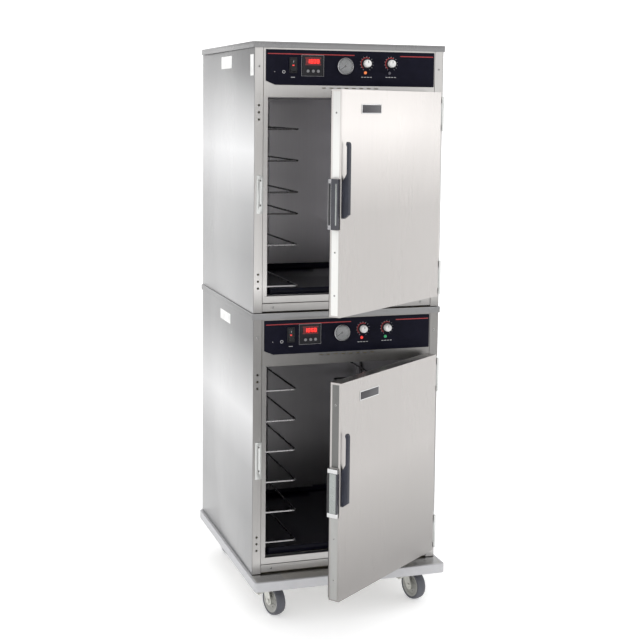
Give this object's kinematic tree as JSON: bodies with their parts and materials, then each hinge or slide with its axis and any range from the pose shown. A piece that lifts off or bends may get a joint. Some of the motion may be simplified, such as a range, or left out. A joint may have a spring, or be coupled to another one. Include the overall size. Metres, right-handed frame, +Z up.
{
  "type": "food holding cabinet",
  "caption": "Tall pair of stacked heated holding ovens on one caster base, with open doors, wire tray slides and front controls.",
  "frame": {"origin": "on the floor, under the middle of the outline with both doors as they rest", "axes": "+Z up along the height, the cavities open towards -Y, +X to the right seen from the front"},
  "size_m": [0.678, 1.1708, 1.9217],
  "materials": {
    "satin_steel": "satin sheet steel",
    "brushed_front_steel": "brushed sheet steel",
    "cavity_steel": "dull sheet steel, darkened by use",
    "dark_overlay": "matt dark panel with printed rules",
    "door_steel": "fine brushed sheet steel",
    "door_inner_steel": "plain sheet steel",
    "mineral_wool": "fibrous",
    "gasket_rubber": "matt",
    "hinge_steel": "satin cast",
    "latch_plastic": "satin",
    "handle_plastic": "satin",
    "knob_plastic": "satin light grey",
    "rocker_plastic": "gloss black",
    "button_rubber": "matt grey",
    "pointer_paint": "matt black",
    "blower_aluminium": "pressed sheet",
    "caster_zinc": "dull plated pressing",
    "caster_tyre": "matt dark",
    "base_steel": "dull sheet steel",
    "bumper_rubber": "matt grey",
    "module_plastic": "textured",
    "gland_plastic": "satin",
    "drip_pan_steel": "dark enamel",
    "heater_steel": "heat darkened",
    "screw_steel": "machined",
    "clear_lens": "clear",
    "slide_chrome": "bright plated wire",
    "dial_chrome": "polished rim, white dial"
  },
  "bodies": {
    "cabinet": {"base_frame": "base_steel", "bumper": "bumper_rubber", "control_modules": "module_plastic", "cord_inlets": "gland_plastic", "door_hardware": "hinge_steel", "drip_pans": "drip_pan_steel", "fan_heaters": "heater_steel", "fasteners": "screw_steel", "insulation": "mineral_wool", "lenses": "clear_lens", "lower_casing": "satin_steel", "lower_control_panel": "dark_overlay", "lower_front_frame": "brushed_front_steel", "lower_liner": "cavity_steel", "slide_racks": "slide_chrome", "thermometers": "dial_chrome", "upper_casing": "satin_steel", "upper_control_panel": "dark_overlay", "upper_front_frame": "brushed_front_steel", "upper_liner": "cavity_steel"},
    "lower_door": {"lower_door_skin": "door_steel", "lower_door_inner_panel": "door_inner_steel", "lower_door_insulation": "mineral_wool", "lower_door_gasket": "gasket_rubber", "lower_door_hinge_leaves": "hinge_steel", "lower_door_latch": "latch_plastic"},
    "lower_handle": {"lower_door_handle": "handle_plastic"},
    "lower_left_knob": {"lower_left_knob": "knob_plastic"},
    "lower_right_knob": {"lower_right_knob": "knob_plastic"},
    "lower_rocker": {"lower_rocker_switch": "rocker_plastic"},
    "lower_button_1": {"lower_button_1": "button_rubber"},
    "lower_button_2": {"lower_button_2": "button_rubber"},
    "lower_button_3": {"lower_button_3": "button_rubber"},
    "lower_pointer": {"lower_thermometer_pointer": "pointer_paint"},
    "lower_blower": {"lower_blower_wheel": "blower_aluminium"},
    "upper_door": {"upper_door_skin": "door_steel", "upper_door_inner_panel": "door_inner_steel", "upper_door_insulation": "mineral_wool", "upper_door_gasket": "gasket_rubber", "upper_door_hinge_leaves": "hinge_steel", "upper_door_latch": "latch_plastic"},
    "upper_handle": {"upper_door_handle": "handle_plastic"},
    "upper_left_knob": {"upper_left_knob": "knob_plastic"},
    "upper_right_knob": {"upper_right_knob": "knob_plastic"},
    "upper_rocker": {"upper_rocker_switch": "rocker_plastic"},
    "upper_button_1": {"upper_button_1": "button_rubber"},
    "upper_button_2": {"upper_button_2": "button_rubber"},
    "upper_button_3": {"upper_button_3": "button_rubber"},
    "upper_pointer": {"upper_thermometer_pointer": "pointer_paint"},
    "upper_blower": {"upper_blower_wheel": "blower_aluminium"},
    "front_left_swivel": {"front_left_fork": "caster_zinc"},
    "front_left_wheel": {"front_left_wheel": "caster_tyre"},
    "front_left_brake": {"front_left_brake_pedal": "caster_zinc"},
    "front_right_swivel": {"front_right_fork": "caster_zinc"},
    "front_right_wheel": {"front_right_wheel": "caster_tyre"},
    "front_right_brake": {"front_right_brake_pedal": "caster_zinc"},
    "rear_left_swivel": {"rear_left_fork": "caster_zinc"},
    "rear_left_wheel": {"rear_left_wheel": "caster_tyre"},
    "rear_right_swivel": {"rear_right_fork": "caster_zinc"},
    "rear_right_wheel": {"rear_right_wheel": "caster_tyre"}
  },
  "joints": [
    {"name": "lower_door_hinge", "type": "hinge", "parent": "cabinet", "child": "lower_door", "pos_m": [0.312, -0.20057, 0.552], "axis": [0, 0, 1], "range_deg": [-37.6, 142.4]},
    {"name": "lower_handle_pivot", "type": "hinge", "parent": "lower_door", "child": "lower_handle", "pos_m": [-0.15057, -0.5669, 0.499], "axis": [0.7923, 0.6101, 0], "range_deg": [0, 12], "stiffness_Nm_per_rad": 1.5, "springref_deg": -14.32},
    {"name": "lower_left_knob_turn", "type": "hinge", "parent": "cabinet", "child": "lower_left_knob", "pos_m": [0.0535, -0.17057, 0.972], "axis": [0, 1, 0], "range_deg": [-20, 250]},
    {"name": "lower_right_knob_turn", "type": "hinge", "parent": "cabinet", "child": "lower_right_knob", "pos_m": [0.1395, -0.17057, 0.973], "axis": [0, 1, 0], "range_deg": [-20, 250]},
    {"name": "lower_rocker_rock", "type": "hinge", "parent": "cabinet", "child": "lower_rocker", "pos_m": [-0.2, -0.16317, 0.962], "axis": [1, 0, 0], "range_deg": [0, 14]},
    {"name": "lower_button_1_press", "type": "slide", "parent": "cabinet", "child": "lower_button_1", "axis": [0, 1, 0], "range_m": [0, 0.0012], "stiffness_N_per_m": 300, "springref_m": -0.0008},
    {"name": "lower_button_2_press", "type": "slide", "parent": "cabinet", "child": "lower_button_2", "axis": [0, 1, 0], "range_m": [0, 0.0012], "stiffness_N_per_m": 300, "springref_m": -0.0008},
    {"name": "lower_button_3_press", "type": "slide", "parent": "cabinet", "child": "lower_button_3", "axis": [0, 1, 0], "range_m": [0, 0.0012], "stiffness_N_per_m": 300, "springref_m": -0.0008},
    {"name": "lower_pointer_turn", "type": "hinge", "parent": "cabinet", "child": "lower_pointer", "pos_m": [-0.021, -0.16507, 0.962], "axis": [0, 1, 0], "range_deg": [0, 250]},
    {"name": "lower_blower_spin", "type": "hinge", "parent": "cabinet", "child": "lower_blower", "pos_m": [0, 0.51343, 0.532], "axis": [0, 1, 0], "continuous": true},
    {"name": "upper_door_hinge", "type": "hinge", "parent": "cabinet", "child": "upper_door", "pos_m": [0.312, -0.20057, 1.437], "axis": [0, 0, 1], "range_deg": [-36.7, 143.3]},
    {"name": "upper_handle_pivot", "type": "hinge", "parent": "upper_door", "child": "upper_handle", "pos_m": [-0.15627, -0.55958, 1.384], "axis": [0.8018, 0.5976, 0], "range_deg": [0, 12], "stiffness_Nm_per_rad": 1.5, "springref_deg": -14.32},
    {"name": "upper_left_knob_turn", "type": "hinge", "parent": "cabinet", "child": "upper_left_knob", "pos_m": [0.0535, -0.17057, 1.857], "axis": [0, 1, 0], "range_deg": [-20, 250]},
    {"name": "upper_right_knob_turn", "type": "hinge", "parent": "cabinet", "child": "upper_right_knob", "pos_m": [0.1395, -0.17057, 1.858], "axis": [0, 1, 0], "range_deg": [-20, 250]},
    {"name": "upper_rocker_rock", "type": "hinge", "parent": "cabinet", "child": "upper_rocker", "pos_m": [-0.2, -0.16317, 1.847], "axis": [1, 0, 0], "range_deg": [0, 14]},
    {"name": "upper_button_1_press", "type": "slide", "parent": "cabinet", "child": "upper_button_1", "axis": [0, 1, 0], "range_m": [0, 0.0012], "stiffness_N_per_m": 300, "springref_m": -0.0008},
    {"name": "upper_button_2_press", "type": "slide", "parent": "cabinet", "child": "upper_button_2", "axis": [0, 1, 0], "range_m": [0, 0.0012], "stiffness_N_per_m": 300, "springref_m": -0.0008},
    {"name": "upper_button_3_press", "type": "slide", "parent": "cabinet", "child": "upper_button_3", "axis": [0, 1, 0], "range_m": [0, 0.0012], "stiffness_N_per_m": 300, "springref_m": -0.0008},
    {"name": "upper_pointer_turn", "type": "hinge", "parent": "cabinet", "child": "upper_pointer", "pos_m": [-0.021, -0.16507, 1.847], "axis": [0, 1, 0], "range_deg": [0, 250]},
    {"name": "upper_blower_spin", "type": "hinge", "parent": "cabinet", "child": "upper_blower", "pos_m": [0, 0.51343, 1.417], "axis": [0, 1, 0], "continuous": true},
    {"name": "front_left_swivel_turn", "type": "hinge", "parent": "cabinet", "child": "front_left_swivel", "pos_m": [-0.2545, -0.10357, 0.112], "axis": [0, 0, 1], "continuous": true},
    {"name": "front_left_wheel_roll", "type": "hinge", "parent": "front_left_swivel", "child": "front_left_wheel", "pos_m": [-0.24421, -0.13807, 0.0508], "axis": [0.9583, 0.2857, 0], "continuous": true},
    {"name": "front_left_brake_press", "type": "hinge", "parent": "front_left_swivel", "child": "front_left_brake", "pos_m": [-0.2738, -0.12811, 0.084], "axis": [0.2857, -0.9583, 0], "range_deg": [0, 14]},
    {"name": "front_right_swivel_turn", "type": "hinge", "parent": "cabinet", "child": "front_right_swivel", "pos_m": [0.2545, -0.10357, 0.112], "axis": [0, 0, 1], "continuous": true},
    {"name": "front_right_wheel_roll", "type": "hinge", "parent": "front_right_swivel", "child": "front_right_wheel", "pos_m": [0.26478, -0.13807, 0.0508], "axis": [0.9583, 0.2857, 0], "continuous": true},
    {"name": "front_right_brake_press", "type": "hinge", "parent": "front_right_swivel", "child": "front_right_brake", "pos_m": [0.2352, -0.12811, 0.084], "axis": [0.2857, -0.9583, 0], "range_deg": [0, 14]},
    {"name": "rear_left_swivel_turn", "type": "hinge", "parent": "cabinet", "child": "rear_left_swivel", "pos_m": [-0.2545, 0.51843, 0.112], "axis": [0, 0, 1], "continuous": true},
    {"name": "rear_left_wheel_roll", "type": "hinge", "parent": "rear_left_swivel", "child": "rear_left_wheel", "pos_m": [-0.24421, 0.48393, 0.0508], "axis": [0.9583, 0.2857, 0], "continuous": true},
    {"name": "rear_right_swivel_turn", "type": "hinge", "parent": "cabinet", "child": "rear_right_swivel", "pos_m": [0.2545, 0.51843, 0.112], "axis": [0, 0, 1], "continuous": true},
    {"name": "rear_right_wheel_roll", "type": "hinge", "parent": "rear_right_swivel", "child": "rear_right_wheel", "pos_m": [0.26478, 0.48393, 0.0508], "axis": [0.9583, 0.2857, 0], "continuous": true}
  ]
}
